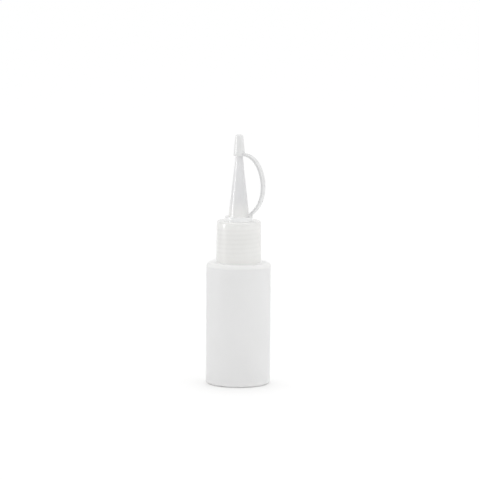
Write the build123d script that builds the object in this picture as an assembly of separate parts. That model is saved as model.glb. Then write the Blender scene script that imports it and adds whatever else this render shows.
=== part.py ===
from build123d import *
import math
import os

os.makedirs("parts", exist_ok=True)

# Dropper bottle in low-density polyethylene, upright on z = 0 with its axis on Z.
# Three mouldings: a blown bottle, a screw closure with its spout, and a captive cap, which is a
# ring round the foot of the spout, a flat strap in the XZ plane towards +X, and a tip cap.
# All lengths are in millimetres.

# Bottle
BODY_R = 18.0
SHOULDER_Z = 68.4          # flat shoulder above the standing ring
BODY_WALL = 1.1
SHOULDER_WALL = 1.2
BASE_WALL = 1.4
SHOULDER_CORNER = 2.4
FOOT_CORNER = 1.6
PUSH_UP = 1.6              # rise of the base inside the standing ring
STANDING_RING_R = 13.4
NECK_R = 9.7               # plain neck, at the root of its thread
NECK_WALL = 1.5
NECK_TOP_Z = 89.95

# Screw thread between neck and closure, right-handed
PITCH = 2.5
THREAD_BASE = 1.5          # width of a ridge at its root
THREAD_CREST = 0.6
NECK_CREST_R = 10.75
CAP_CREST_R = 9.95
THREAD_ROOT_SINK = 0.3     # how far a ridge is sunk into its wall
NECK_THREAD_Z = 77.8
NECK_THREAD_TURNS = 4.0
CAP_THREAD_TURNS = 3.5

# Closure with its spout
CAP_TOP_Z = 91.6
CAP_GAP = 0.15             # skirt above the shoulder
CAP_R_TOP = 12.3
CAP_R_RIM = 12.55
CAP_BORE_R = 11.0
CAP_TOP_WALL = 1.5
CAP_EDGE = 1.0
PLUG_R = 8.0               # sealing plug in the mouth of the neck
PLUG_WALL = 1.2
PLUG_DEPTH = 4.0
SPOUT_FOOT_R = 6.15
SPOUT_TIP_R = 1.3
SPOUT_TIP_Z = 133.6
SPOUT_FOOT_WALL = 1.15
OUTLET_R = 0.75
OUTLET_LAND = 2.0          # short straight run of the bore at the tip

# Captive cap
RING_R = 7.75
RING_TOP_Z = 94.2
RING_PLAY = 0.12           # ring and closure
CAP_RIM_Z = 128.0
CAP_END_Z = 139.8
TIP_CAP_RIM_R = 3.2
TIP_CAP_BODY_R = 3.03
TIP_CAP_WAIST_R = 2.85
TIP_CAP_END_R = 2.05
TIP_CAP_WALL = 1.3
TIP_PLAY = 0.08            # tip cap and spout
STRAP_W = 3.6
STRAP_T = 1.3
STRAP_EDGE = 0.3
ARCH_LINKS = 8             # rigid lengths that stand for the curved part of the strap
LINK_GAP = 0.3
FOOT_NOTCH = 62            # degrees that the film hinge at the lug can close
TIP_NOTCH = 58             # degrees that the film hinge at the tip cap can close

# Middle line of the strap in the XZ plane: a film hinge at the lug, then the arch, a cubic curve
# from a second film hinge to a third one at the rim of the tip cap, drawn out by two control points
FOOT_HINGE = (7.6, 95.6)
ARCH_START = (9.8, 97.6)
ARCH_PULL_OUT = (20.3, 107.4)
ARCH_PULL_UP = (14.5, 127.6)
ARCH_END = (4.5, 128.65)
LUG_BASE_R = 6.9           # middle of the lug where it stands on the ring


def spout_radius(z):
    """Outside radius of the conical spout at a height."""
    along = (z - CAP_TOP_Z) / (SPOUT_TIP_Z - CAP_TOP_Z)
    return SPOUT_FOOT_R + along * (SPOUT_TIP_R - SPOUT_FOOT_R)


def turned(corners):
    """Solid of revolution about Z. Each corner of its half outline is (radius, height, rounding)."""
    points = [(r, 0, z) for r, z, rounding in corners]
    roundings = [rounding for r, z, rounding in corners]
    outline = FilletPolyline(*points, radius=roundings, close=True)
    return revolve(make_face(outline), Axis.Z)


def thread_ridge(root_r, crest_r, z_start, turns, turned_by):
    """Helical ridge of trapezoid section from a wall at root_r to crest_r, rising anticlockwise."""
    towards = 1 if crest_r > root_r else -1
    sunk_r = root_r - towards * THREAD_ROOT_SINK
    section = Polyline(
        (sunk_r, 0, -THREAD_BASE / 2),
        (root_r, 0, -THREAD_BASE / 2),
        (crest_r, 0, -THREAD_CREST / 2),
        (crest_r, 0, THREAD_CREST / 2),
        (root_r, 0, THREAD_BASE / 2),
        (sunk_r, 0, THREAD_BASE / 2),
        close=True,
    )
    path = Helix(PITCH, PITCH * turns, root_r)
    ridge = sweep(make_face(section), path, is_frenet=True)
    return Pos(0, 0, z_start) * Rot(0, 0, turned_by) * ridge


def bottle():
    """Blown bottle: hollow body, recessed base, flat shoulder, open neck with its outside thread."""
    inner_r = BODY_R - BODY_WALL
    bore_r = NECK_R - NECK_WALL
    wall_step = 0.6            # how much sharper the inside corners are
    shell = turned([
        (0, PUSH_UP, 0),
        (STANDING_RING_R - 1.4, PUSH_UP - 0.3, 1.0),
        (STANDING_RING_R, 0, 0.6),
        (BODY_R, 0, FOOT_CORNER),
        (BODY_R, SHOULDER_Z, SHOULDER_CORNER),
        (NECK_R, SHOULDER_Z, 0.8),
        (NECK_R, NECK_TOP_Z, 0.4),
        (bore_r, NECK_TOP_Z, 0.4),
        (bore_r, SHOULDER_Z - SHOULDER_WALL, 1.2),
        (inner_r, SHOULDER_Z - SHOULDER_WALL, SHOULDER_CORNER - wall_step),
        (inner_r, BASE_WALL, FOOT_CORNER - wall_step),
        (STANDING_RING_R + 0.4, BASE_WALL, 0.6),
        (STANDING_RING_R - 1.0, PUSH_UP - 0.3 + BASE_WALL, 1.0),
        (0, PUSH_UP + BASE_WALL, 0),
    ])
    ridge = thread_ridge(NECK_R, NECK_CREST_R, NECK_THREAD_Z, NECK_THREAD_TURNS, 0)
    return shell + ridge


def dropper_closure():
    """Screw closure in one piece with its hollow conical spout and its sealing plug."""
    under_top = CAP_TOP_Z - CAP_TOP_WALL
    rim_z = SHOULDER_Z + CAP_GAP
    plug_end = under_top - PLUG_DEPTH
    shell = turned([
        (CAP_R_RIM, rim_z, 0.3),
        (CAP_R_TOP, CAP_TOP_Z, CAP_EDGE),
        (SPOUT_FOOT_R, CAP_TOP_Z, 0),
        (SPOUT_TIP_R, SPOUT_TIP_Z, 0.25),
        (OUTLET_R, SPOUT_TIP_Z, 0),
        (OUTLET_R, SPOUT_TIP_Z - OUTLET_LAND, 0),
        (SPOUT_FOOT_R - SPOUT_FOOT_WALL, under_top, 1.0),
        (PLUG_R - PLUG_WALL, under_top, 0.6),
        (PLUG_R - PLUG_WALL, plug_end, 0.2),
        (PLUG_R - 0.5, plug_end, 0.2),
        (PLUG_R, plug_end + 1.4, 0.5),
        (PLUG_R, under_top, 0),
        (CAP_BORE_R, under_top, 0.5),
        (CAP_BORE_R, rim_z, 0.2),
    ])
    half_pitch_turn = -180     # the ridge lies midway between the turns of the neck's thread
    z_start = NECK_THREAD_Z
    ridge = thread_ridge(CAP_BORE_R, CAP_CREST_R, z_start, CAP_THREAD_TURNS, half_pitch_turn)
    return shell + ridge


def tether_ring():
    """Ring round the foot of the spout, with a bore that follows the spout's cone."""
    foot_z = CAP_TOP_Z + RING_PLAY
    return turned([
        (spout_radius(foot_z) + RING_PLAY, foot_z, 0),
        (RING_R, foot_z, 0.2),
        (RING_R, RING_TOP_Z, 0.5),
        (spout_radius(RING_TOP_Z) + RING_PLAY, RING_TOP_Z, 0.2),
    ])


def in_plane(point):
    """Point of the XZ plane from its (x, z)."""
    return Vector(point[0], 0, point[1])


def strap_arch():
    """Middle line of the curved part of the strap."""
    return Bezier(*[in_plane(point) for point in (ARCH_START, ARCH_PULL_OUT, ARCH_PULL_UP, ARCH_END)])


def strap_length_of(outer, inner):
    """Length of strap between an outer and an inner edge line, with rounded long edges."""
    ends = [Line(outer @ 0, inner @ 0), Line(outer @ 1, inner @ 1)]
    face = make_face([outer, inner] + ends)
    strip = extrude(face, STRAP_W / 2, dir=(0, 1, 0), both=True)
    long_edges = strip.edges().filter_by(lambda edge: abs((edge @ 0).Y - (edge @ 1).Y) < 0.01)
    long_edges = long_edges.filter_by(lambda edge: edge.length > STRAP_T + 0.1)
    return fillet(long_edges, STRAP_EDGE)


def straight_length(start, end):
    """Straight length of strap between two points of its middle line."""
    along = (end - start).normalized()
    outward = Vector(along.Z, 0, -along.X) * (STRAP_T / 2)
    return strap_length_of(Line(start + outward, end + outward), Line(start - outward, end - outward))


def arched_length(arch, start, end):
    """Curved length of strap between two fractions of the arch."""
    places = [start, (start + end) / 2, end]
    middle = [arch @ place for place in places]
    outward = [Vector((arch % place).Z, 0, -(arch % place).X) * (STRAP_T / 2) for place in places]
    outer = ThreePointArc(*[point + side for point, side in zip(middle, outward)])
    inner = ThreePointArc(*[point - side for point, side in zip(middle, outward)])
    return strap_length_of(outer, inner)


def film_notch(hinge, into, opening):
    """Wedge to cut from the inner half of a strap length that folds inwards about its end."""
    inward = Vector(-into.Z, 0, into.X)
    if inward.X > 0:
        inward = -inward
    corner = hinge + inward * STRAP_T
    far_corner = corner + into * (STRAP_T * math.tan(math.radians(opening)))
    wedge = make_face(Polyline(hinge, corner, far_corner, close=True))
    return extrude(wedge, STRAP_W, dir=(0, 1, 0), both=True)


def strap_foot():
    """Lug that stands on the ring's outer edge and leans out to the first film hinge."""
    base = Vector(LUG_BASE_R, 0, RING_TOP_Z + 0.06)
    hinge = in_plane(FOOT_HINGE)
    along = (hinge - base).normalized()
    outward = Vector(along.Z, 0, -along.X) * (STRAP_T / 2)
    top = hinge - along * (LINK_GAP / 2)
    outline = Polyline(
        (base.X - STRAP_T / 2, 0, base.Z),
        (base.X + STRAP_T / 2 + 0.2, 0, base.Z),
        top + outward,
        top - outward,
        close=True,
    )
    return extrude(make_face(outline), STRAP_W / 2, dir=(0, 1, 0), both=True)


def strap_links(arch):
    """The short length between the film hinges, then the equal lengths of the arch."""
    foot = in_plane(FOOT_HINGE)
    start = in_plane(ARCH_START)
    along = (start - foot).normalized()
    half_gap = along * (LINK_GAP / 2)
    links = [straight_length(foot + half_gap, start - half_gap)]
    gap = LINK_GAP / 2 / arch.length
    for number in range(ARCH_LINKS):
        links.append(arched_length(arch, number / ARCH_LINKS + gap, (number + 1) / ARCH_LINKS - gap))
    links[0] -= film_notch(foot, along, FOOT_NOTCH)
    links[-1] -= film_notch(arch @ 1, -(arch % 1), TIP_NOTCH)
    return links


def tip_cap(arch):
    """Cap pushed on the tip of the spout, with the tab at its rim where the strap ends."""
    roof_z = CAP_END_Z - TIP_CAP_WALL
    cap = turned([
        (spout_radius(CAP_RIM_Z) + TIP_PLAY, CAP_RIM_Z, 0),
        (TIP_CAP_RIM_R, CAP_RIM_Z, 0.2),
        (TIP_CAP_RIM_R, CAP_RIM_Z + 1.3, 0.3),
        (TIP_CAP_BODY_R, CAP_RIM_Z + 1.7, 0.4),
        (TIP_CAP_WAIST_R, CAP_RIM_Z + 4.6, 12.0),
        (TIP_CAP_END_R, CAP_END_Z, 0.9),
        (0, CAP_END_Z, 0),
        (0, roof_z, 0),
        (OUTLET_R, roof_z, 0.4),
        (SPOUT_TIP_R + TIP_PLAY, SPOUT_TIP_Z + 0.5, 0.5),
        (spout_radius(SPOUT_TIP_Z) + TIP_PLAY, SPOUT_TIP_Z, 0),
    ])
    hinge = arch @ 1
    along = arch % 1
    start = hinge + along * (LINK_GAP / 2)
    reach = (start.X - TIP_CAP_RIM_R + 0.45) / -along.X
    return cap + straight_length(start, start + along * reach)


arch = strap_arch()
pieces = {
    "bottle": bottle(),
    "dropper_closure": dropper_closure(),
    "tether_ring": tether_ring(),
    "strap_foot": strap_foot(),
    "tip_cap": tip_cap(arch),
}
for number, link in enumerate(strap_links(arch), start=1):
    pieces[f"strap_link_{number}"] = link

for name, piece in pieces.items():
    export_step(piece, f"parts/{name}.step")

arch_hinges = [arch @ (number / ARCH_LINKS) for number in range(ARCH_LINKS + 1)]
for number, hinge in enumerate([in_plane(FOOT_HINGE)] + arch_hinges, start=1):
    print(f"strap hinge {number}: x {hinge.X:.4f}  z {hinge.Z:.4f}")
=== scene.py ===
import bpy
import bmesh
import math
from mathutils import Matrix, Vector, noise


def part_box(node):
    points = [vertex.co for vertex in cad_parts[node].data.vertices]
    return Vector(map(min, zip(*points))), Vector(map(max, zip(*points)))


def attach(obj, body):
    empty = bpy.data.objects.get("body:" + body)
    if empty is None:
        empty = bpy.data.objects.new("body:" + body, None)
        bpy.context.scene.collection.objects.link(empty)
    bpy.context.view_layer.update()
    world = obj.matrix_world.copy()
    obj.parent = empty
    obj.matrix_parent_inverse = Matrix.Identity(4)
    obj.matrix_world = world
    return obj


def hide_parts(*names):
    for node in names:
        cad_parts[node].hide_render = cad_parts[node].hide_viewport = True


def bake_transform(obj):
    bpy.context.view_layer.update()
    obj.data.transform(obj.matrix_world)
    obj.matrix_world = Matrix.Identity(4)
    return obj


# Dropper bottle in natural low-density polyethylene: a blown bottle, a screw closure with its
# spout, and a captive cap made of a ring, a strap and a tip cap. Outlines are in millimetres,
# (radius, height), and meshes in metres.

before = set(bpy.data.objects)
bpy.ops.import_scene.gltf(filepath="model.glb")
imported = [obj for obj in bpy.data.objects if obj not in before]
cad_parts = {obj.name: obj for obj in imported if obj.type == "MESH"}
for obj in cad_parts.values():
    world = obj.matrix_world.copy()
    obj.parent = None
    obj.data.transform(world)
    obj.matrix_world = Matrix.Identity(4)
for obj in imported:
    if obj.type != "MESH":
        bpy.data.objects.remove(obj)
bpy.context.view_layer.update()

MM = 0.001
FULL_TURN = 2 * math.pi


def box_mm(node):
    """Lowest and highest corner of a CAD node, in millimetres."""
    low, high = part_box(node)
    return low / MM, high / MM


bottle_high = box_mm("bottle")[1]
closure_low, closure_high = box_mm("dropper_closure")
ring_high = box_mm("tether_ring")[1]
tip_low, tip_high = box_mm("tip_cap")

# ---- Bottle's sizes --------------------------------------------------------------------------
BODY_R = bottle_high.x - 0.01    # a hair inside the CAD's
BODY_WALL = 1.1
FOOT_CORNER = 1.6
STANDING_R = 13.4            # inner edge of the flat ring that it stands on
PUSH_UP_R = 12.0
PUSH_UP_RIM = 1.3
PUSH_UP = 1.6                # height of the base's middle
BASE_WALL = 1.4
BASE_OFFSET = 0.4            # how far the inside's corners lie outside the underside's
INNER_CORNER_LESS = 0.6      # how much smaller the inside's corners are than the outside's
SHOULDER_Z = 68.4
SHOULDER_CORNER = 2.4
SHOULDER_WALL = 1.2
NECK_R = 9.7
NECK_BORE_R = 8.2
NECK_TOP = bottle_high.z

# ---- Screw thread's sizes --------------------------------------------------------------------
PITCH = 2.5
THREAD_Z = 77.8              # where it starts, at angle 0
RIDGE_BASE = 1.5
RIDGE_CREST = 0.6
RUN_OUT = 0.14               # share of a turn over which a ridge's end fades
NECK_RIDGE = 1.05
NECK_TURNS = 4.0
CAP_RIDGE = 1.05
CAP_TURNS = 3.5

# ---- Closure's sizes -------------------------------------------------------------------------
CAP_RIM_Z = closure_low.z - 0.12    # a little nearer to the shoulder than the CAD's
CAP_TOP_Z = 91.6
CAP_ROOF = 1.5
CAP_RIM_R = 12.55
CAP_TOP_R = 12.3
CAP_BORE_R = 11.0
PLUG_R = 8.0
PLUG_LEAD_R = 7.5            # at the end that goes into the neck first
PLUG_BORE_R = 6.8
PLUG_LENGTH = 4.0
PLUG_STRAIGHT = 2.6
SPOUT_FOOT_R = 6.15
SPOUT_TIP_R = 1.3
SPOUT_TIP_Z = closure_high.z
SPOUT_WALL = 1.15
OUTLET_R = 0.75
OUTLET_LENGTH = 2.0

# ---- Captive cap's sizes ---------------------------------------------------------------------
RING_R = ring_high.x
RING_FOOT_Z = CAP_TOP_Z + 0.03
RING_TOP_Z = ring_high.z
RING_PLAY = 0.12

TIP_RIM_Z = tip_low.z
TIP_RIM_R = tip_high.y
TIP_RIM_BAND = 1.3           # height of the thick rim
TIP_NECK_R = 3.03            # just above the rim
TIP_MIDDLE_R = 2.85
TIP_MIDDLE = 4.6             # height of the middle above the rim's underside
TIP_BULGE = 12.0             # rounding there
TIP_END_R = 2.05
TIP_END_Z = tip_high.z
TIP_ROOF = 1.3
TIP_PLAY = 0.08
GATE_R = 0.5                 # dimple that the mould's gate leaves in the end
GATE_DEPTH = 0.25

STRAP_W = 3.6
STRAP_T = 1.3
STRAP_EDGE = 0.32            # rounding of its long edges
STRAP_SIDE = 0.15            # how near its edge the narrow side's painted shade begins
STRAP_FOOT = Vector((6.9, RING_TOP_Z - 0.3))
FOOT_HINGE = Vector((7.6, 95.6))
# The arch is one cubic curve, given by its ends and its two control points.
ARCH = [Vector(p) for p in ((9.8, 97.6), (20.3, 107.4), (14.5, 127.6), (4.5, 128.65))]
ARCH_LINKS = 8
FILM_CUT = 0.6               # taken off the strap's inner face at a film hinge
FILM_REACH = 0.5             # how far the cut runs out on either side

# ---- Fineness of the meshes ------------------------------------------------------------------
ARC_STEP = math.radians(11)  # between points round a corner of an outline
BORE_STEP = 3.0              # between points along a straight run
LONG_STEP = 2.5
SHORT_STEP = 1.5
THREAD_STEP = 0.125          # the same where a screw thread runs
STRAP_STEP = 0.25
BOTTLE_SEGMENTS = 144        # round the bottle and the closure
RING_SEGMENTS = 96
TIP_SEGMENTS = 72
ON_WALL = 0.01               # how near a radius is to a wall's to be on that wall

# ---- Camera ----------------------------------------------------------------------------------
VIEW_AZIMUTH = math.radians(30)
VIEW_ELEVATION = math.radians(8)
VIEW_ROLL = math.radians(0.37)
VIEW_DISTANCE = 2.0
SENSOR_WIDTH = 36
FRAME_WIDTH = 0.268          # width of the picture at the bottle's axis
AIM = Vector((0, 0, 0.0807))
AIM_RIGHT = 0.0007           # how far to the right of the bottle's axis it looks

# ---- Light -----------------------------------------------------------------------------------
ROOM_LIGHT = 0.93            # as it falls on things, where 1 is white in the picture
SEEN_ROOM = 1.05             # as the camera sees it
OVERHEAD = 0.5
OVERHEAD_TILT = 0.2          # how far it comes from behind the bottle
OVERHEAD_SPREAD = math.radians(35)
LEFT_BOX = 0.4               # this and the next two in watts
GLINT = 3.0
RIGHT_BOX = 1.0


def seen_from_camera(right, forward, up):
    """Direction given relative to the camera's heading: right, away from it, and up."""
    return Vector((
        right * math.cos(VIEW_AZIMUTH) - forward * math.sin(VIEW_AZIMUTH),
        right * math.sin(VIEW_AZIMUTH) + forward * math.cos(VIEW_AZIMUTH),
        up,
    ))


def add_camera():
    """Long lens, a little above the bottle, with a trace of roll."""
    camera = bpy.data.objects.new("camera", bpy.data.cameras.new("camera"))
    bpy.context.scene.collection.objects.link(camera)
    back = seen_from_camera(0, -math.cos(VIEW_ELEVATION), math.sin(VIEW_ELEVATION))
    rotation = back.to_track_quat("Z", "Y").to_matrix().to_4x4()
    place = AIM + seen_from_camera(AIM_RIGHT, 0, 0) + back * VIEW_DISTANCE
    roll = Matrix.Rotation(VIEW_ROLL, 4, "Z")
    camera.matrix_world = Matrix.Translation(place) @ rotation @ roll
    camera.data.sensor_width = SENSOR_WIDTH
    camera.data.lens = SENSOR_WIDTH * VIEW_DISTANCE / FRAME_WIDTH
    camera.data.clip_start = 0.05
    bpy.context.scene.camera = camera


# ---- Mesh code -------------------------------------------------------------------------------
def rounded(corners):
    """Closed outline with arcs at its corners. A corner is (radius, height, rounding, step), where
    step is the longest stretch between points on the run to the next corner, or 0 for any."""
    count = len(corners)
    arcs = []
    for index, (r, z, rounding, step) in enumerate(corners):
        here = Vector((r, z))
        back = Vector(corners[index - 1][:2]) - here
        ahead = Vector(corners[(index + 1) % count][:2]) - here
        turn = back.angle(ahead)
        if rounding == 0 or turn > math.pi - 0.01:
            arc = [here]
        else:
            reach = rounding / math.tan(turn / 2)
            middle = (back.normalized() + ahead.normalized()).normalized()
            centre = here + middle * (rounding / math.sin(turn / 2))
            start = here + back.normalized() * reach - centre
            sweep = (math.pi - turn) * (1 if start.y * back.x - start.x * back.y > 0 else -1)
            pieces = max(3, round(abs(sweep) / ARC_STEP))
            arc = []
            for piece in range(pieces + 1):
                angle = sweep * piece / pieces
                spoke = Vector((
                    start.x * math.cos(angle) - start.y * math.sin(angle),
                    start.x * math.sin(angle) + start.y * math.cos(angle),
                ))
                arc.append(centre + spoke)
        arcs.append((arc, step))
    outline = []
    for index, (arc, step) in enumerate(arcs):
        outline.extend(arc)
        following = arcs[(index + 1) % count][0][0]
        run = (following - arc[-1]).length
        if step and run > step:
            cuts = math.ceil(run / step)
            outline.extend(arc[-1].lerp(following, cut / cuts) for cut in range(1, cuts))
    return outline


def even_angles(segments, fine=(), fine_width=0.03, fine_cuts=6):
    """Angles round a turned piece, with extra ones where a fine line runs along it."""
    angles = {round(FULL_TURN * number / segments, 6) for number in range(segments)}
    for centre in fine:
        for cut in range(-fine_cuts, fine_cuts + 1):
            angles.add(round((centre + fine_width * cut / fine_cuts) % FULL_TURN, 6))
    return sorted(angles)


def turned(name, outline, angles, shape=None):
    """Closed mesh of revolution about Z. shape(radius, height, angle) may move each point."""
    mesh = bmesh.new()
    rings = []
    for point in outline:
        if point.x < 1e-6:
            rings.append([mesh.verts.new((0, 0, point.y * MM))])
            continue
        ring = []
        for angle in angles:
            r, z = shape(point.x, point.y, angle) if shape else (point.x, point.y)
            x = r * MM * math.cos(angle)
            y = r * MM * math.sin(angle)
            ring.append(mesh.verts.new((x, y, z * MM)))
        rings.append(ring)
    around = len(angles)
    for ring, following in zip(rings, rings[1:] + rings[:1]):
        if len(ring) == 1 and len(following) == 1:
            continue
        for number in range(around):
            after = (number + 1) % around
            if len(ring) == 1:
                mesh.faces.new((ring[0], following[after], following[number]))
            elif len(following) == 1:
                mesh.faces.new((ring[number], ring[after], following[0]))
            else:
                mesh.faces.new((ring[number], ring[after], following[after], following[number]))
    return finished(name, mesh)


def finished(name, mesh):
    """Object from a bmesh, with outward normals and smooth shading."""
    bmesh.ops.recalc_face_normals(mesh, faces=mesh.faces)
    data = bpy.data.meshes.new(name)
    mesh.to_mesh(data)
    mesh.free()
    data.polygons.foreach_set("use_smooth", [True] * len(data.polygons))
    data.update()
    thing = bpy.data.objects.new(name, data)
    bpy.context.scene.collection.objects.link(thing)
    return thing


def smoothstep(value):
    """0 up to 0, 1 from 1, and an eased step between."""
    value = min(1, max(0, value))
    return value * value * (3 - 2 * value)


def ridge_height(angle, z, turns, turned_by):
    """Share of its full height that a screw thread's ridge has at a place on its wall."""
    first = ((angle - turned_by) / FULL_TURN) % 1
    height = 0
    for lap in range(math.ceil(turns) + 1):
        along = first + lap
        if along > turns:
            break
        off = abs(z - THREAD_Z - PITCH * along)
        flank = (RIDGE_BASE / 2 - off) / (RIDGE_BASE / 2 - RIDGE_CREST / 2)
        fade = smoothstep(along / RUN_OUT) * smoothstep((turns - along) / RUN_OUT)
        height = max(height, smoothstep(flank) * fade)
    return height


# ---- Materials -------------------------------------------------------------------------------
ROUGHNESS_SPREAD = 0.02
THREAD_SHADE_LOW = 75               # heights between which the thread's painted shade bands show on the skirt
THREAD_SHADE_HIGH = 87.6


class Surface:
    """A material under construction, with the few node patterns that the plastics share."""

    def __init__(self, name):
        self.material = bpy.data.materials.new(name)
        self.material.use_nodes = True
        self.nodes = self.material.node_tree.nodes
        self.links = self.material.node_tree.links
        self.nodes.clear()
        self.place = self.nodes.new("ShaderNodeTexCoord").outputs["Object"]

    def cloud(self, scale, detail, low, high):
        """Noise spread between two values."""
        texture = self.nodes.new("ShaderNodeTexNoise")
        texture.inputs["Scale"].default_value = scale
        texture.inputs["Detail"].default_value = detail
        self.links.new(self.place, texture.inputs["Vector"])
        return self.spread(texture.outputs["Fac"], 0.3, 0.7, low, high)

    def spread(self, value, from_low, from_high, to_low, to_high, smooth=False):
        """One range stretched over another, and held at its ends."""
        node = self.nodes.new("ShaderNodeMapRange")
        if smooth:
            node.interpolation_type = "SMOOTHSTEP"
        node.inputs["From Min"].default_value = from_low
        node.inputs["From Max"].default_value = from_high
        node.inputs["To Min"].default_value = to_low
        node.inputs["To Max"].default_value = to_high
        self.links.new(value, node.inputs["Value"])
        return node.outputs["Result"]

    def maths(self, operation, first, second=0):
        """Math node. Each term is a socket or a number."""
        node = self.nodes.new("ShaderNodeMath")
        node.operation = operation
        for slot, term in zip(node.inputs, (first, second)):
            if isinstance(term, (int, float)):
                slot.default_value = term
            else:
                self.links.new(term, slot)
        return node.outputs[0]

    def axes(self):
        """Outputs X, Y and Z of the place on the piece, in metres."""
        split = self.nodes.new("ShaderNodeSeparateXYZ")
        self.links.new(self.place, split.inputs[0])
        return split.outputs

    def thread_shade_bands(self, low, high, fade_in=5.0, fade_out=1.2):
        """1 on a screw thread's crest and 0 between crests, fading out beyond two heights (mm): the
        mask of the thread's painted shade.
        """
        place = self.axes()
        around = self.maths("ARCTAN2", place["Y"], place["X"])
        laps = self.maths("DIVIDE", around, FULL_TURN)
        height = self.maths("DIVIDE", place["Z"], PITCH * MM)
        phase = self.maths("SUBTRACT", self.maths("SUBTRACT", height, THREAD_Z / PITCH), laps)
        wave = self.maths("COSINE", self.maths("MULTIPLY", phase, FULL_TURN))
        crest = self.spread(wave, -0.6, 0.9, 0, 1, smooth=True)
        rising = self.above(low - fade_in, low)
        ending = self.spread(place["Z"], high * MM, (high + fade_out) * MM, 1, 0, smooth=True)
        return self.maths("MULTIPLY", crest, self.maths("MULTIPLY", rising, ending))

    def above(self, low, high):
        """0 under one height and 1 over another (mm)."""
        return self.spread(self.axes()["Z"], low * MM, high * MM, 0, 1, smooth=True)

    def mixed(self, share, first, second):
        """Colour between two colours, each a socket or three numbers."""
        node = self.nodes.new("ShaderNodeMix")
        node.data_type = "RGBA"
        self.links.new(share, node.inputs["Factor"])
        for key, colour in (("A", first), ("B", second)):
            if isinstance(colour, tuple):
                node.inputs[key].default_value = (*colour, 1)
            else:
                self.links.new(colour, node.inputs[key])
        return node.outputs["Result"]

    def plastic(self, colour, rough, gloss, bump, grain, depth, clear):
        """Natural polyethylene, with fine bumps (m) at the noise scale grain. Light goes into it
        by depth (m), and the share clear goes on through the wall."""
        output = self.nodes.new("ShaderNodeOutputMaterial")
        skin = self.nodes.new("ShaderNodeBsdfPrincipled")
        self.links.new(colour, skin.inputs["Base Color"])
        roughness = self.cloud(220, 4, rough - ROUGHNESS_SPREAD, rough + ROUGHNESS_SPREAD)
        self.links.new(roughness, skin.inputs["Roughness"])
        relief = self.nodes.new("ShaderNodeBump")
        relief.inputs["Strength"].default_value = 1
        relief.inputs["Distance"].default_value = bump
        self.links.new(self.cloud(grain, 3, 0, 1), relief.inputs["Height"])
        self.links.new(relief.outputs["Normal"], skin.inputs["Normal"])
        skin.inputs["IOR"].default_value = 1.51
        skin.inputs["Coat Weight"].default_value = gloss
        skin.inputs["Coat Roughness"].default_value = 0.1
        skin.inputs["Coat IOR"].default_value = 1.8
        if depth:
            skin.inputs["Subsurface Weight"].default_value = 1.0
            skin.inputs["Subsurface Radius"].default_value = (1.0, 1.0, 1.0)
            skin.inputs["Subsurface Scale"].default_value = depth
        through = self.nodes.new("ShaderNodeBsdfTranslucent")
        self.links.new(colour, through.inputs["Color"])
        mix = self.nodes.new("ShaderNodeMixShader")
        mix.inputs[0].default_value = clear
        self.links.new(skin.outputs["BSDF"], mix.inputs[1])
        self.links.new(through.outputs["BSDF"], mix.inputs[2])
        self.links.new(mix.outputs[0], output.inputs["Surface"])
        return self.material


def bottle_plastic():
    """Satin and milky, with painted shade: a band just under the shoulder's edge is painted a shade
    darker, on the rounding that faces the light from above."""
    surface = Surface("bottle_polyethylene")
    wall = surface.mixed(surface.cloud(60, 3, 0, 1), (0.948, 0.946, 0.932), (0.965, 0.963, 0.951))
    # Painted shade: mask of the band under the shoulder's edge that the colour below darkens.
    shoulder_shade = surface.maths(
        "SUBTRACT",
        surface.above(SHOULDER_Z - 3.2, SHOULDER_Z - 1.2),
        surface.above(SHOULDER_Z - 0.5, SHOULDER_Z - 0.05),
    )
    # The darker colour of the shoulder's painted shade.
    colour = surface.mixed(shoulder_shade, wall, (0.87, 0.868, 0.857))
    return surface.plastic(
        colour, rough=0.42, gloss=0.0, bump=0.00002, grain=900, depth=0.002, clear=0.1
    )


def closure_plastic():
    """The inner thread is painted on the skirt as faint slanting darker bands, painted shade of the
    thread seen through the wall. The spout's wall is thinner and clearer, and the spout is painted
    a shade darker and cooler: painted shade."""
    surface = Surface("closure_polyethylene")
    plain = surface.mixed(surface.cloud(90, 3, 0, 1), (0.785, 0.783, 0.772), (0.80, 0.798, 0.787))
    # Painted shade: darker bands where the inner thread's crests lie behind the skirt.
    skirt_thread_shade = surface.mixed(surface.thread_shade_bands(THREAD_SHADE_LOW, THREAD_SHADE_HIGH), plain, (0.773, 0.771, 0.76))
    # Painted shade: the spout is painted darker and cooler than the skirt.
    spout = surface.mixed(surface.cloud(130, 3, 0, 1), (0.705, 0.706, 0.712), (0.725, 0.726, 0.732))
    colour = surface.mixed(surface.above(CAP_TOP_Z + 1, CAP_TOP_Z + 16), skirt_thread_shade, spout)
    return surface.plastic(
        colour, rough=0.3, gloss=0.6, bump=0.00001, grain=700, depth=0.002, clear=0.2
    )


def cap_plastic(name, darkest, palest):
    """Glossier and clearer than the rest, with nothing milky in it."""
    surface = Surface(name)
    colour = surface.mixed(surface.cloud(120, 3, 0, 1), darkest, palest)
    return surface.plastic(
        colour, rough=0.22, gloss=1.0, bump=0.000006, grain=500, depth=0, clear=0.25
    )


BOTTLE_PLASTIC = bottle_plastic()
CLOSURE_PLASTIC = closure_plastic()
CAP_PLASTIC = cap_plastic(
    "cap_polyethylene", (0.865, 0.867, 0.865), (0.89, 0.892, 0.89)
)
# The strap's narrow sides are painted a shade darker: painted shade on the sides.
STRAP_SIDE_SHADE = cap_plastic(
    "strap_side_painted_shade", (0.745, 0.748, 0.75), (0.775, 0.778, 0.78)
)


def dressed(thing, material, node, body=None):
    """Gives a piece its material and the body that it rides, and hides the CAD node that it stands
    for.
    """
    thing.data.materials.append(material)
    if body:
        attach(thing, body)
    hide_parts(node)


def let_light_by(thing):
    """Thin clear plastic hardly shades what is next to it or under it."""
    thing.visible_shadow = False
    thing.visible_diffuse = False


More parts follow.
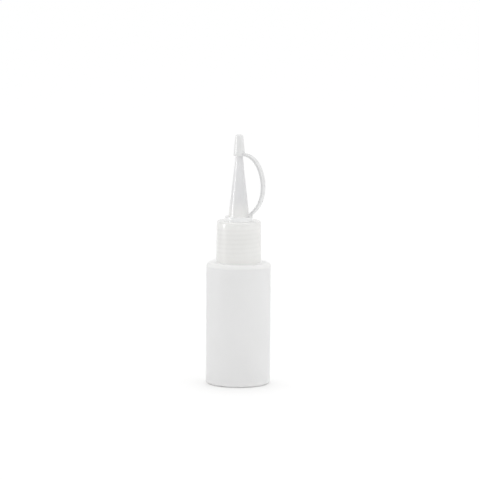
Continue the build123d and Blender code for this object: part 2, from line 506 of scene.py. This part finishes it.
# ---- Bottle ----------------------------------------------------------------------------------
PARTING_ANGLES = (VIEW_AZIMUTH, VIEW_AZIMUTH + math.pi)
PARTING_HEIGHT = 0.035
NECK_PARTING_HEIGHT = 0.05
OUTER_WAVE = 0.04
OUTER_INSET = 0.05           # keeps the waves and the parting line inside the CAD's box
INNER_WAVE = 0.12


def parting(angle, width=0.012):
    """Height, 0 to 1, of the mould's parting line at an angle."""
    away = min(abs((angle - centre + math.pi) % FULL_TURN - math.pi) for centre in PARTING_ANGLES)
    return smoothstep(1 - away / width)


def unevenness(angle, z, round_scale, height_scale, offset=0):
    """Slow noise over a blown wall, between -1 and 1."""
    x = math.cos(angle) * round_scale
    y = math.sin(angle) * round_scale
    return noise.noise(Vector((x, y, z / height_scale + offset)))


def bottle_shape(r, z, angle):
    """Screw thread, parting line and the slight unevenness of a blown wall."""
    if abs(r - NECK_R) < ON_WALL and z > SHOULDER_Z + 2:
        r += NECK_RIDGE * ridge_height(angle, z, NECK_TURNS, 0)
        r += NECK_PARTING_HEIGHT * parting(angle, 0.02)
    elif abs(r - BODY_R) < ON_WALL:
        r += -OUTER_INSET + OUTER_WAVE * unevenness(angle, z, 1.1, 26)
        r += PARTING_HEIGHT * parting(angle)
    elif abs(r - (BODY_R - BODY_WALL)) < ON_WALL:
        r += INNER_WAVE * unevenness(angle, z, 1.6, 15, offset=7)
    return r, z


def bottle_outline():
    """Half section of the bottle, from the middle of its base round to the inside."""
    inner_r = BODY_R - BODY_WALL
    inner_top = SHOULDER_Z - SHOULDER_WALL
    return rounded([
        (0, PUSH_UP, 0, SHORT_STEP),
        (PUSH_UP_R, PUSH_UP_RIM, 1.0, 0),
        (STANDING_R, 0, 0.6, 0),
        (BODY_R, 0, FOOT_CORNER, LONG_STEP),
        (BODY_R, SHOULDER_Z, SHOULDER_CORNER, 0),
        (NECK_R, SHOULDER_Z, 0.8, THREAD_STEP),
        (NECK_R, NECK_TOP, 0.4, 0),
        (NECK_BORE_R, NECK_TOP, 0.4, BORE_STEP),
        (NECK_BORE_R, inner_top, 1.2, 0),
        (inner_r, inner_top, SHOULDER_CORNER - INNER_CORNER_LESS, LONG_STEP),
        (inner_r, BASE_WALL, FOOT_CORNER - INNER_CORNER_LESS, 0),
        (STANDING_R + BASE_OFFSET, BASE_WALL, 0.6, 0),
        (PUSH_UP_R + BASE_OFFSET, PUSH_UP_RIM + BASE_WALL, 1.0, SHORT_STEP),
        (0, PUSH_UP + BASE_WALL, 0, 0),
    ])


def make_bottle():
    angles = even_angles(BOTTLE_SEGMENTS, PARTING_ANGLES)
    thing = turned("bottle_shell", bottle_outline(), angles, bottle_shape)
    dressed(thing, BOTTLE_PLASTIC, "bottle", body="bottle")


# ---- Closure ---------------------------------------------------------------------------------
def closure_shape(r, z, angle):
    """Inside thread, half a turn away from the neck's."""
    if abs(r - CAP_BORE_R) < ON_WALL and z < CAP_TOP_Z - 2.5:
        r -= CAP_RIDGE * ridge_height(angle, z, CAP_TURNS, -math.pi)
    return r, z


def closure_outline():
    """Half section of the closure, down the outside of its skirt and up the inside."""
    under_top = CAP_TOP_Z - CAP_ROOF
    return rounded([
        (CAP_RIM_R, CAP_RIM_Z, 0.12, LONG_STEP),
        (CAP_TOP_R, CAP_TOP_Z, 1.0, SHORT_STEP),
        (SPOUT_FOOT_R, CAP_TOP_Z, 0, SHORT_STEP),
        (SPOUT_TIP_R, SPOUT_TIP_Z, 0.25, 0),
        (OUTLET_R, SPOUT_TIP_Z, 0.15, 0),
        (OUTLET_R, SPOUT_TIP_Z - OUTLET_LENGTH, 0, SHORT_STEP),
        (SPOUT_FOOT_R - SPOUT_WALL, under_top, 1.0, 0),
        (PLUG_BORE_R, under_top, 0.6, 0),
        (PLUG_BORE_R, under_top - PLUG_LENGTH, 0.2, 0),
        (PLUG_LEAD_R, under_top - PLUG_LENGTH, 0.2, 0),
        (PLUG_R, under_top - PLUG_STRAIGHT, 0.5, 0),
        (PLUG_R, under_top, 0.2, 0),
        (CAP_BORE_R, under_top, 0.5, THREAD_STEP),
        (CAP_BORE_R, CAP_RIM_Z, 0.2, 0),
    ])


def make_closure():
    angles = even_angles(BOTTLE_SEGMENTS)
    thing = turned("closure_with_spout", closure_outline(), angles, closure_shape)
    dressed(thing, CLOSURE_PLASTIC, "dropper_closure", body="closure")
    let_light_by(thing)


# ---- Captive cap -----------------------------------------------------------------------------
def spout_radius(z):
    """Radius of the conical spout's outside at a height."""
    share = (z - CAP_TOP_Z) / (SPOUT_TIP_Z - CAP_TOP_Z)
    return SPOUT_FOOT_R + share * (SPOUT_TIP_R - SPOUT_FOOT_R)


def make_ring():
    outline = rounded([
        (spout_radius(RING_FOOT_Z) + RING_PLAY, RING_FOOT_Z, 0.1, 0),
        (RING_R, RING_FOOT_Z, 0.2, 0),
        (RING_R, RING_TOP_Z, 0.5, 0),
        (spout_radius(RING_TOP_Z) + RING_PLAY, RING_TOP_Z, 0.3, 0),
    ])
    thing = turned("tether_collar", outline, even_angles(RING_SEGMENTS))
    dressed(thing, CAP_PLASTIC, "tether_ring", body="lift_collar")
    let_light_by(thing)


def make_tip_cap():
    """Thick rim, a softly bulging taper, and the mould's gate mark in the middle of the end."""
    under_end = TIP_END_Z - TIP_ROOF
    outline = rounded([
        (spout_radius(TIP_RIM_Z) + TIP_PLAY, TIP_RIM_Z, 0.1, 0),
        (TIP_RIM_R, TIP_RIM_Z, 0.3, 0),
        (TIP_RIM_R, TIP_RIM_Z + TIP_RIM_BAND, 0.3, 0),
        (TIP_NECK_R, TIP_RIM_Z + TIP_RIM_BAND + 0.4, 0.4, 0),
        (TIP_MIDDLE_R, TIP_RIM_Z + TIP_MIDDLE, TIP_BULGE, 0),
        (TIP_END_R, TIP_END_Z, 0.9, 0),
        (GATE_R + 0.05, TIP_END_Z, 0.1, 0),
        (GATE_R - 0.05, TIP_END_Z - GATE_DEPTH, 0.1, 0),
        (0, TIP_END_Z - GATE_DEPTH, 0, 0),
        (0, under_end, 0, 0),
        (OUTLET_R, under_end, 0.4, 0),
        (SPOUT_TIP_R + TIP_PLAY, SPOUT_TIP_Z + 0.5, 0.5, 0),
        (SPOUT_TIP_R + TIP_PLAY, SPOUT_TIP_Z, 0, 0),
    ])
    thing = turned("tip_cap_shell", outline, even_angles(TIP_SEGMENTS))
    dressed(thing, CAP_PLASTIC, "tip_cap", body="tip_cap")


def arch_point(share):
    """Point and direction of the strap's middle line at a share of the cubic's parameter."""
    a, b, c, d = ARCH
    rest = 1 - share
    place = a * rest**3 + b * 3 * rest**2 * share + c * 3 * rest * share**2 + d * share**3
    slope = (b - a) * rest**2 + (c - b) * 2 * rest * share + (d - c) * share**2
    return place, slope.normalized()


def strap_line(straight_cuts=12, arch_cuts=240, end_cuts=8, end_step=0.24):
    """Middle line of the whole strap as (distance, point, direction), finely divided: two short
    straights, the arch, and the straight tab on the tip cap."""
    stations = []
    for start, end in ((STRAP_FOOT, FOOT_HINGE), (FOOT_HINGE, ARCH[0])):
        for cut in range(straight_cuts):
            stations.append((start.lerp(end, cut / straight_cuts), (end - start).normalized()))
    for cut in range(arch_cuts + 1):
        stations.append(arch_point(cut / arch_cuts))
    last, heading = stations[-1]
    for cut in range(1, end_cuts + 1):
        stations.append((last + heading * (end_step * cut), heading))
    line = []
    distance = 0
    for index, (place, heading) in enumerate(stations):
        if index:
            distance += (place - stations[index - 1][0]).length
        line.append((distance, place, heading))
    return line


STRAP = strap_line()


def strap_at(distance):
    """Middle point and direction of the strap at a distance along it."""
    for (near, place, heading), (far, next_place, next_heading) in zip(STRAP, STRAP[1:]):
        if distance <= far:
            share = (distance - near) / (far - near)
            return place.lerp(next_place, share), heading.lerp(next_heading, share).normalized()
    return STRAP[-1][1], STRAP[-1][2]


def distance_to(point):
    """Distance along the strap of the place nearest a point."""
    return min(STRAP, key=lambda station: (station[1] - point).length)[0]


FILM_HINGES = [distance_to(point) for point in (FOOT_HINGE, ARCH[0], ARCH[3])]


def film_share(distance):
    """How far the strap's inner face is cut away at a place: 1 at the middle of a film hinge."""
    return max(smoothstep(1 - abs(distance - hinge) / FILM_REACH) for hinge in FILM_HINGES)


def strap_rim(corner_cuts=4):
    """Section of the strap as (across, up), with softly rounded corners."""
    rim = []
    for corner, (sx, sy) in enumerate(((1, 1), (-1, 1), (-1, -1), (1, -1))):
        for cut in range(corner_cuts + 1):
            angle = math.pi / 2 * (corner + cut / corner_cuts)
            rim.append((
                sx * (STRAP_W / 2 - STRAP_EDGE) + STRAP_EDGE * math.cos(angle),
                sy * (STRAP_T / 2 - STRAP_EDGE) + STRAP_EDGE * math.sin(angle),
            ))
    return rim


def strap_piece(name, start, end):
    """Stretch of the flat strap, closed at both ends, with its narrow sides in material 1, their
    painted shade.
    """
    mesh = bmesh.new()
    rim = strap_rim()
    pieces = max(2, math.ceil((end - start) / STRAP_STEP))
    rings = []
    for cut in range(pieces + 1):
        distance = start + (end - start) * cut / pieces
        place, heading = strap_at(distance)
        outward = Vector((heading.y, -heading.x))
        cut_away = FILM_CUT * film_share(distance)
        ring = []
        for across, up in rim:
            if up < 0:
                up += cut_away
            x = place.x + outward.x * up
            z = place.y + outward.y * up
            ring.append(mesh.verts.new((x * MM, across * MM, z * MM)))
        rings.append(ring)
    around = len(rim)
    for ring, following in zip(rings, rings[1:]):
        for number in range(around):
            after = (number + 1) % around
            face = mesh.faces.new((ring[number], ring[after], following[after], following[number]))
            on_side = abs(rim[number][0] + rim[after][0]) / 2 > STRAP_W / 2 - STRAP_SIDE
            # Faces on the narrow sides take material 1, the painted shade.
            face.material_index = 1 if on_side else 0
    mesh.faces.new(rings[0])
    mesh.faces.new(rings[-1])
    return finished(name, mesh)


def make_strap():
    """Ten pieces, each across one of the strap's hinges and meeting in the middle of its links."""
    foot, arch_start, arch_end = FILM_HINGES
    link = (arch_end - arch_start) / ARCH_LINKS
    hinges = [foot] + [arch_start + link * number for number in range(ARCH_LINKS + 1)]
    middles = [(near + far) / 2 for near, far in zip(hinges, hinges[1:])]
    cuts = [0] + middles + [STRAP[-1][0]]
    links = [f"strap_link_{number + 1}" for number in range(ARCH_LINKS + 1)]
    bodies = ["strap_foot"] + links + ["tip_cap"]
    for number, hinge in enumerate(hinges):
        piece = strap_piece(f"strap_part_{number + 1}", cuts[number], cuts[number + 1])
        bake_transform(piece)
        dressed(piece, CAP_PLASTIC, bodies[number])
        # Material 1 paints the narrow sides a shade darker: painted shade.
        piece.data.materials.append(STRAP_SIDE_SHADE)


# ---- Room ------------------------------------------------------------------------------------
def make_floor():
    """Wide white paper."""
    mesh = bmesh.new()
    bmesh.ops.create_grid(mesh, x_segments=2, y_segments=2, size=FLOOR_SIZE)
    floor = finished("floor", mesh)
    paper = bpy.data.materials.new("pale_paper")
    paper.use_nodes = True
    surface = paper.node_tree.nodes["Principled BSDF"]
    surface.inputs["Base Color"].default_value = (0.92, 0.92, 0.92, 1)
    surface.inputs["Roughness"].default_value = 0.9
    surface.inputs["Specular IOR Level"].default_value = 0.0
    floor.data.materials.append(paper)


LEFT_FROM = seen_from_camera(-1.0, -0.05, 0.2)
GLINT_FROM = seen_from_camera(-1.0, -0.15, 0.2)
RIGHT_FROM = seen_from_camera(1.0, -0.4, 0.35)
STRIP_DISTANCE = 0.9
STRIP_SIZE = (0.1, 0.9)
BOX_DISTANCE = 1.0
BOX_SIZE = (1.0, 1.2)
FLOOR_SIZE = 8


def overhead_light():
    """Even soft light on the floor and the bottle, from above and a little behind."""
    data = bpy.data.lights.new("overhead", "SUN")
    data.energy = OVERHEAD
    data.angle = OVERHEAD_SPREAD
    lamp = bpy.data.objects.new("overhead", data)
    bpy.context.scene.collection.objects.link(lamp)
    towards = seen_from_camera(0, OVERHEAD_TILT, 1)
    lamp.matrix_world = towards.to_track_quat("Z", "Y").to_matrix().to_4x4()


def area_light(name, direction, distance, size, power):
    """Soft rectangular lamp that faces the bottle's middle. Size is (wide, high)."""
    data = bpy.data.lights.new(name, "AREA")
    data.shape = "RECTANGLE"
    data.size, data.size_y = size
    data.energy = power
    lamp = bpy.data.objects.new(name, data)
    bpy.context.scene.collection.objects.link(lamp)
    direction = direction.normalized()
    turn = direction.to_track_quat("Z", "Y").to_matrix().to_4x4()
    lamp.matrix_world = Matrix.Translation(AIM + direction * distance) @ turn
    return lamp


def add_lights():
    """Overhead light, a lamp on each side, and a strip that is seen only as a highlight."""
    overhead_light()
    area_light("left_box", LEFT_FROM, STRIP_DISTANCE, STRIP_SIZE, LEFT_BOX)
    glint = area_light("glint_strip", GLINT_FROM, STRIP_DISTANCE, STRIP_SIZE, GLINT)
    glint.visible_diffuse = False
    area_light("right_box", RIGHT_FROM, BOX_DISTANCE, BOX_SIZE, RIGHT_BOX)


def background(nodes, strength):
    """White background of one strength."""
    node = nodes.new("ShaderNodeBackground")
    node.inputs["Color"].default_value = (1, 1, 1, 1)
    node.inputs["Strength"].default_value = strength
    return node


def make_world():
    """White room, a little brighter where the camera sees it than where it lights things."""
    world = bpy.data.worlds.new("studio")
    bpy.context.scene.world = world
    world.use_nodes = True
    nodes = world.node_tree.nodes
    links = world.node_tree.links
    nodes.clear()
    output = nodes.new("ShaderNodeOutputWorld")
    seen = background(nodes, SEEN_ROOM)
    light = background(nodes, ROOM_LIGHT)
    path = nodes.new("ShaderNodeLightPath")
    mix = nodes.new("ShaderNodeMixShader")
    links.new(path.outputs["Is Camera Ray"], mix.inputs[0])
    links.new(light.outputs[0], mix.inputs[1])
    links.new(seen.outputs[0], mix.inputs[2])
    links.new(mix.outputs[0], output.inputs["Surface"])


add_camera()
make_bottle()
make_closure()
make_ring()
make_tip_cap()
make_strap()
make_floor()
make_world()
add_lights()
bpy.context.scene.view_settings.view_transform = "Standard"
